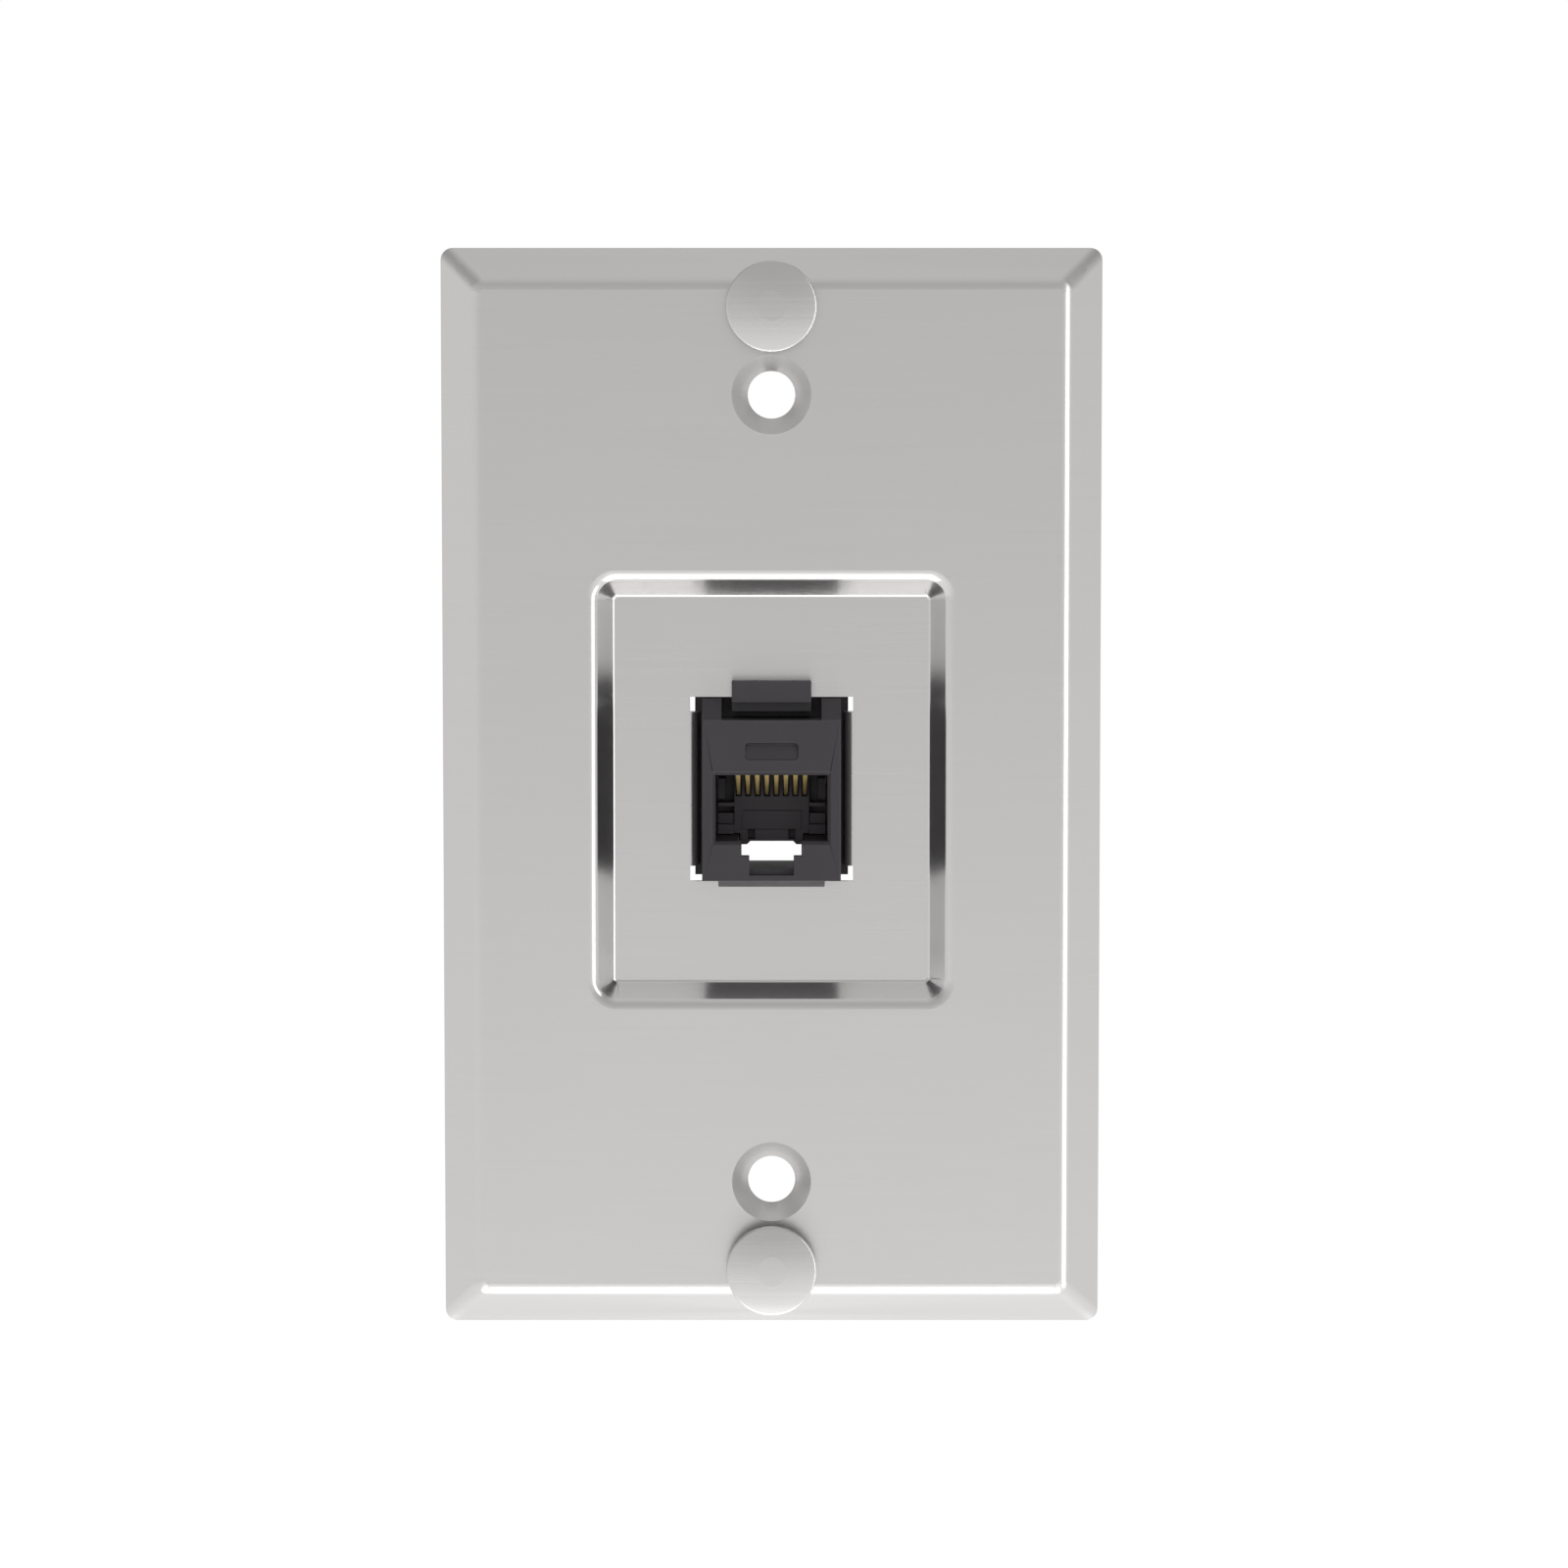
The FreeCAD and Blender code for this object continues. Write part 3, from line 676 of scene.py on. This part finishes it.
@dataclass
class Studio:
    """Camera, soft boxes, white surround and pale floor."""

    camera_place: tuple[float, float, float] = (1.32 * MM, -478.61 * MM, 32.73 * MM)
    camera_pitch: float = 3.86
    lens: float = 103.5
    sensor: float = 36.0
    nearest: float = 0.01
    farthest: float = 20.0
    floor_drop: float = 0.9
    floor_size: float = 12.0
    floor_colour: tuple[float, float, float] = (0.82, 0.82, 0.82)
    floor_lift: float = 0.55
    ahead: tuple = (
        (0.0, 0.95), (0.40, 0.77), (0.50, 0.70), (0.54, 0.66), (0.64, 0.56), (0.85, 0.58),
        (1.0, 0.77),
    )
    to_right: tuple = (
        (0.0, 0.95), (0.40, 0.90), (0.50, 0.84), (0.56, 0.78), (0.85, 0.60), (1.0, 0.77),
    )
    to_left: tuple = (
        (0.0, 0.90), (0.40, 0.64), (0.47, 0.86), (0.50, 0.90), (0.56, 0.94), (0.85, 0.66),
        (1.0, 0.77),
    )
    corner_dip: float = 0.42
    lamps: list[Lamp] = field(default_factory=lambda: [
        Lamp("low_front", (0.0, -0.58, -0.82), 0.85, 0.50, 2.25),
        Lamp("right_front", (0.72, -0.66, 0.0), 0.34, 1.05, 2.2),
        Lamp("fill", (0.0, -1.2, 0.35), 1.2, 0.8, 0.9, False),
    ])

    def build(self) -> None:
        """Makes the whole studio."""
        bpy.context.scene.view_settings.view_transform = "Standard"
        self._camera()
        for lamp in self.lamps:
            lamp.build()
        self._surround()
        self._floor()

    def _camera(self) -> None:
        """Places the camera where the photograph was taken from."""
        data = bpy.data.cameras.new("camera")
        data.lens = self.lens
        data.sensor_width = self.sensor
        data.clip_start = self.nearest
        data.clip_end = self.farthest
        camera = bpy.data.objects.new("camera", data)
        camera.location = self.camera_place
        camera.rotation_euler = Euler((math.radians(90.0 - self.camera_pitch), 0.0, 0.0))
        bpy.context.scene.collection.objects.link(camera)
        bpy.context.scene.camera = camera

    @staticmethod
    def _background_rays(tree: NodeBoard) -> Signal:
        """Tells the rays that see the background as white from the others.

        Args:
            tree: The tree that asks.

        Returns:
            1 on those rays, and 0 on the others.
        """
        path = tree.add("ShaderNodeLightPath")
        camera, glossy, through = (Signal(tree, path.outputs[ray.value]) for ray in Ray)
        return camera.at_least(glossy).at_least(through)

    def _surround(self) -> None:
        """White background, and a soft surround that is paler below than above."""
        world = bpy.data.worlds.new("surround")
        world.use_nodes = True
        bpy.context.scene.world = world
        tree = NodeBoard(world.node_tree)
        path = tree.add("ShaderNodeLightPath")
        seen = Signal(tree, path.outputs[Ray.CAMERA.value])
        direction = tree.value("ShaderNodeTexCoord", "Generated")
        right, _, up = tree.axes(direction)
        height = up * 0.5 + 0.5
        ahead, to_right, to_left = (
            tree.value(
                "ShaderNodeValToRGB", "Color",
                {"stops": [(place, (grey, grey, grey, 1.0)) for place, grey in stops]},
                {"Fac": height},
            )
            for stops in (self.ahead, self.to_right, self.to_left)
        )
        share = right * right
        on_left = (right * -1.0).at_least(0.0)
        sides = blended(tree, share, ahead, to_right)
        ramp = blended(tree, on_left * on_left, sides, to_left)
        slant = right * up  # at most a half, in the corners of the surround
        strength = 1.0 - slant * slant * (4.0 * self.corner_dip)
        soft = tree.value("ShaderNodeBackground", 0, None, {"Color": ramp, "Strength": strength})
        plain = {"Color": (1.0, 1.0, 1.0, 1.0), "Strength": 1.0}
        white = tree.value("ShaderNodeBackground", 0, None, plain)
        both = tree.value("ShaderNodeMixShader", 0, None, {0: seen, 1: soft, 2: white})
        tree.add("ShaderNodeOutputWorld", None, {"Surface": both})

    def _floor(self) -> None:
        """Pale floor under the plate, which keeps its shadow."""
        half = self.floor_size / 2
        low = CAD_BOX[0].z - self.floor_drop
        corners = [(-half, -half, low), (half, -half, low), (half, half, low), (-half, half, low)]
        mesh = bpy.data.meshes.new("floor")
        mesh.from_pydata(corners, [], [(0, 1, 2, 3)])
        floor = bpy.data.objects.new("floor", mesh)
        bpy.context.scene.collection.objects.link(floor)
        material, tree = finish_tree("pale_floor")
        matt = tree.value("ShaderNodeBsdfDiffuse", 0, None, {"Color": (*self.floor_colour, 1.0)})
        lift = self._background_rays(tree) * self.floor_lift
        glow = tree.value("ShaderNodeEmission", 0, None, {"Strength": lift})
        both = tree.value("ShaderNodeAddShader", 0, None, {0: matt, 1: glow})
        tree.add("ShaderNodeOutputMaterial", None, {"Surface": both})
        mesh.materials.append(material)


def dress(node: str, material: bpy.types.Material) -> bpy.types.Object:
    """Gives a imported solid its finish.

    Args:
        node: The solid's name.
        material: Its finish.

    Returns:
        The solid's object.
    """
    piece = frame["nodes"][node]
    piece.data.materials.clear()
    piece.data.materials.append(material)
    return piece


@dataclass
class Finishes:
    """Every finish of the plate, by the record's slot."""

    plate: PressedSteel = PressedSteel("brushed_plate_finish")
    stud: BrushedSteel = BrushedSteel(
        "brushed_stud_finish", grain=(30.0, 30.0, 3000.0), grain_depth=0.0000015,
        roughness=0.26, roughness_spread=0.12, worn=(0.58, 0.57, 0.565),
    )
    housing: MouldedPlastic = MouldedPlastic(
        "black_moulding_finish", (0.0262, 0.0224, 0.0264), (0.0325, 0.0285, 0.0328)
    )
    # The carrier is the housing's black plastic made paler: painted light in the jack's deep
    # cavity, where little light reaches.
    carrier: MouldedPlastic = MouldedPlastic(
        "carrier_moulding_painted_light_finish", (0.034, 0.0275, 0.034), (0.041, 0.034, 0.041)
    )
    block: MouldedPlastic = MouldedPlastic(
        "terminal_moulding_finish", (0.050, 0.047, 0.051), (0.060, 0.056, 0.060)
    )
    contact: PlatedMetal = PlatedMetal(
        "gilded_contact_finish", (0.98, 0.76, 0.32), (0.88, 0.64, 0.24), 0.34, 0.35
    )
    terminal: PlatedMetal = PlatedMetal(
        "tinned_terminal_finish", (0.78, 0.77, 0.75), (0.62, 0.61, 0.60), 0.3
    )
    board: BoardLaminate = BoardLaminate("board_laminate_finish")

    def by_slot(self) -> dict[str, bpy.types.Material]:
        """Makes every finish.

        Returns:
            The material of each of the record's slots.
        """
        return {
            "brushed_plate": self.plate.material(),
            "brushed_stud": self.stud.material(),
            "black_moulding": self.housing.material(),
            "carrier_moulding": self.carrier.material(),
            "terminal_moulding": self.block.material(),
            "gilded_contact": self.contact.material(),
            "tinned_terminal": self.terminal.material(),
            "board_laminate": self.board.material(),
        }


@dataclass
class Mouldings:
    """The moulded pieces, with the softened edges that a mould leaves."""

    slots: dict = field(default_factory=lambda: {
        "jack_housing": "black_moulding",
        "contact_carrier": "carrier_moulding",
        "terminal_block": "terminal_moulding",
    })
    edge: float = 0.06 * MM
    steps: int = 2
    sharp: float = math.radians(32.0)

    def soften(self, node: str, finish: bpy.types.Material) -> bpy.types.Object:
        """Copies a solid and rounds its edges.

        Args:
            node: The solid's name.
            finish: The piece's finish.

        Returns:
            The piece, as a closed plain mesh.
        """
        mesh = frame["nodes"][node].data.copy()
        close_up(mesh)
        mesh.materials.clear()
        mesh.materials.append(finish)
        mesh.polygons.foreach_set("use_smooth", [False] * len(mesh.polygons))
        piece = bpy.data.objects.new("moulded_" + node, mesh)
        bpy.context.scene.collection.objects.link(piece)
        edges = piece.modifiers.new("edges", "BEVEL")
        edges.width = self.edge
        edges.segments = self.steps
        edges.limit_method = "ANGLE"
        edges.angle_limit = self.sharp
        edges.use_clamp_overlap = False
        graph = bpy.context.evaluated_depsgraph_get()
        piece.data = bpy.data.meshes.new_from_object(piece.evaluated_get(graph))
        piece.modifiers.clear()
        return piece

    def build(self, finishes: dict[str, bpy.types.Material]) -> list[bpy.types.Object]:
        """Softens every moulded piece.

        Args:
            finishes: The finish of each slot.

        Returns:
            The pieces.
        """
        return [
            stand_in(self.soften(node, finishes[slot]), slot, node)
            for node, slot in self.slots.items()
        ]


@dataclass
class ShoulderStuds:
    """Two turned studs with crowned heads, which a telephone hangs on."""

    heights: dict = field(default_factory=lambda: {
        "upper_stud": 50.8 * MM,
        "lower_stud": -50.8 * MM,
    })
    head: float = 9.5 * MM
    crown: float = 0.495 * MM
    crown_steps: int = 9
    edge: float = 0.16 * MM
    edge_steps: int = 4
    rim_y: float = -6.4 * MM
    back_y: float = -5.5 * MM
    neck: float = 4.6 * MM
    face_y: float = -3.75 * MM
    shank: float = 3.0 * MM
    sheet_y: float = -2.75 * MM
    tail: float = 4.0 * MM
    tail_y: float = -2.25 * MM
    segments: int = 128

    def outline(self) -> list[tuple[float, float, float]]:
        """Draws the half section.

        Returns:
            Its points, from the middle of the head round to the middle of the tail.
        """
        half = self.head / 2
        ball = (half ** 2 + self.crown ** 2) / (2 * self.crown)
        reaches = [half * math.sqrt(i / self.crown_steps) for i in range(self.crown_steps)]
        sag = [ball - math.sqrt(ball ** 2 - reach ** 2) for reach in reaches]
        points = [(reach, self.rim_y - self.crown + drop) for reach, drop in zip(reaches, sag)]
        points += [
            (half, self.rim_y), (half, self.back_y), (self.neck / 2, self.back_y),
            (self.neck / 2, self.face_y), (self.shank / 2, self.face_y),
            (self.shank / 2, self.sheet_y), (self.tail / 2, self.sheet_y),
            (self.tail / 2, self.tail_y), (0.0, self.tail_y),
        ]
        return [(reach, y, 0.0) for reach, y in points]

    def lathe(self) -> ShapeTree:
        """Makes the tree that turns a half section round an axis along Y.

        Returns:
            The tree.
        """
        tree = ShapeTree("lathe", {"Edge radius": "Float", "Segments": "Int", "Height": "Float"})
        rounded = tree.rounded_line("Edge radius", self.edge_steps)
        line = tree.value("GeometryNodeCurveToMesh", 0, None, {"Curve": rounded})
        points = {"Geometry": line}
        count = tree.value("GeometryNodeAttributeDomainSize", "Point Count", None, points)
        segments = tree.given("Segments")
        grid = tree.value(
            "GeometryNodeMeshGrid", 0, None, {"Vertices X": segments + 1.0, "Vertices Y": count},
        )
        index = tree.value("GeometryNodeInputIndex")
        position = tree.value("GeometryNodeInputPosition")
        section = tree.value(
            "GeometryNodeSampleIndex", 0, {"data_type": "FLOAT_VECTOR"},
            {"Geometry": line, "Value": position, "Index": index % count},
        )
        reach, along, _ = tree.axes(section)
        angle = ((index + 0.5) / count).whole() * (2.0 * math.pi) / segments
        place = tree.value("ShaderNodeCombineXYZ", 0, None, {
            "X": reach * angle.cosine(),
            "Y": along,
            "Z": reach * angle.sine() + tree.given("Height"),
        })
        turned = {"Geometry": grid, "Position": place}
        tree.end(tree.value("GeometryNodeSetPosition", 0, None, turned))
        return tree

    def build(self, finish: bpy.types.Material) -> list[bpy.types.Object]:
        """Turns both studs.

        Args:
            finish: Their finish.

        Returns:
            The studs.
        """
        lathe = self.lathe()
        studs = []
        for node, height in self.heights.items():
            sizes = {
                "Edge radius": self.edge, "Segments": self.segments, "Height": height,
                "Finish": finish,
            }
            turned = lathe.make("turned_" + node, self.outline(), sizes)
            studs.append(stand_in(turned, "brushed_stud", node))
        return studs


@dataclass
class ContactRows:
    """Eight spring wires, of which every second one comes from the upper row of the board."""

    width: float = 0.5 * MM
    thickness: float = 0.3 * MM
    bend_radius: float = 0.7 * MM
    bend_steps: int = 14
    slope: float = math.radians(21.0)
    tail_y: float = 11.2 * MM
    step_y: float = 8.35 * MM
    bend_y: float = -2.6 * MM
    tip_y: float = 4.3 * MM
    run_height: float = 3.2 * MM
    row_step: float = 1.3 * MM
    edge: float = 0.07 * MM
    edge_steps: int = 3
    tip_share: float = 0.7
    tip_start: float = 0.98
    tip_soft: float = 0.04

    def line(self, raised: bool) -> list[tuple[float, float, float]]:
        """The middle line of a wire.

        Args:
            raised: Whether its tail is in the upper row.

        Returns:
            The corners of the line, from the tail to the tip.
        """
        points = [(self.tail_y, self.run_height)]
        if raised:
            points = [
                (self.tail_y, self.run_height + self.row_step),
                (self.step_y, self.run_height + self.row_step),
                (self.step_y - self.row_step, self.run_height),
            ]
        corner_y = self.bend_y - self.bend_radius * math.tan((math.pi - self.slope) / 2)
        tip_height = self.run_height - (self.tip_y - corner_y) * math.tan(self.slope)
        points += [(corner_y, self.run_height), (self.tip_y, tip_height)]
        return [(0.0, y, height) for y, height in points]

    def wire_row(self) -> ShapeTree:
        """Makes the tree that lays a row of wires along their line.

        Returns:
            The tree.
        """
        sizes = {
            "Bend radius": "Float", "Width": "Float", "Thickness": "Float",
            "Edge radius": "Float", "Tip share": "Float", "First": "Float", "Pitch": "Float",
            "Count": "Int",
        }
        tree = ShapeTree("wire_row", sizes)
        path = tree.rounded_line("Bend radius", self.bend_steps)
        section = tree.value(
            "GeometryNodeCurvePrimitiveQuadrilateral", 0, {"mode": "RECTANGLE"},
            {"Width": tree.given("Width"), "Height": tree.given("Thickness")},
        )
        section = tree.value(
            "GeometryNodeFilletCurve", 0, {"mode": "POLY"},
            {
                "Curve": section, "Count": self.edge_steps, "Radius": tree.given("Edge radius"),
                "Limit Radius": True,
            },
        )
        along = tree.value("GeometryNodeSplineParameter", "Factor")
        tip = along.above(self.tip_start, self.tip_soft)
        scale = 1.0 - tip * (1.0 - tree.given("Tip share"))
        wire = tree.value(
            "GeometryNodeCurveToMesh", 0, None,
            {"Curve": path, "Profile Curve": section, "Scale": scale, "Fill Caps": True},
        )
        start = tree.value("ShaderNodeCombineXYZ", 0, None, {"X": tree.given("First")})
        step = tree.value("ShaderNodeCombineXYZ", 0, None, {"X": tree.given("Pitch")})
        places = tree.value(
            "GeometryNodeMeshLine", 0, {"mode": "OFFSET"},
            {"Count": tree.given("Count"), "Start Location": start, "Offset": step},
        )
        row = {"Points": places, "Instance": wire}
        tree.end(tree.value("GeometryNodeInstanceOnPoints", 0, None, row))
        return tree

    def build(self, finish: bpy.types.Material) -> list[bpy.types.Object]:
        """Lays both rows.

        Args:
            finish: Their finish.

        Returns:
            The lower row and the raised row.
        """
        tree = self.wire_row()
        rows = []
        for name, nodes in (
            ("lower_contacts", [f"contact_{i}" for i in (1, 3, 5, 7)]),
            ("raised_contacts", [f"contact_{i}" for i in (2, 4, 6, 8)]),
        ):
            middles = [sum(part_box(node), Vector()).x / 2 for node in nodes]
            sizes = {
                "Bend radius": self.bend_radius, "Width": self.width, "Thickness": self.thickness,
                "Edge radius": self.edge, "Tip share": self.tip_share, "First": middles[0],
                "Pitch": middles[1] - middles[0], "Count": len(nodes), "Finish": finish,
            }
            row = tree.make(name, self.line(name == "raised_contacts"), sizes)
            rows.append(stand_in(row, "gilded_contact", *nodes))
        return rows


def stand_in(piece: bpy.types.Object, slot: str, *nodes: str) -> bpy.types.Object:
    """Lets a piece stand for solids of the frame.

    Args:
        piece: The piece, in place.
        slot: The record's slot of its finish; it is not used.
        nodes: The solids' names.

    Returns:
        The piece.
    """
    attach(piece, BODY)
    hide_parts(*nodes)
    return piece


def main() -> None:
    """Builds the studio and dresses every piece."""
    logging.basicConfig(level=logging.INFO, format="%(message)s")
    Studio().build()
    slots = Finishes().by_slot()
    parts = frame["record"]["subparts"]
    pieces = [dress(part["node"], slots[part["material_slot"]]) for part in parts]
    pieces += Mouldings().build(slots)
    pieces += ShoulderStuds().build(slots["brushed_stud"])
    pieces += ContactRows().build(slots["gilded_contact"])
    for piece in pieces:
        log.info("%s: %d faces", piece.name, len(piece.data.polygons))


if __name__ == "__main__":
    main()
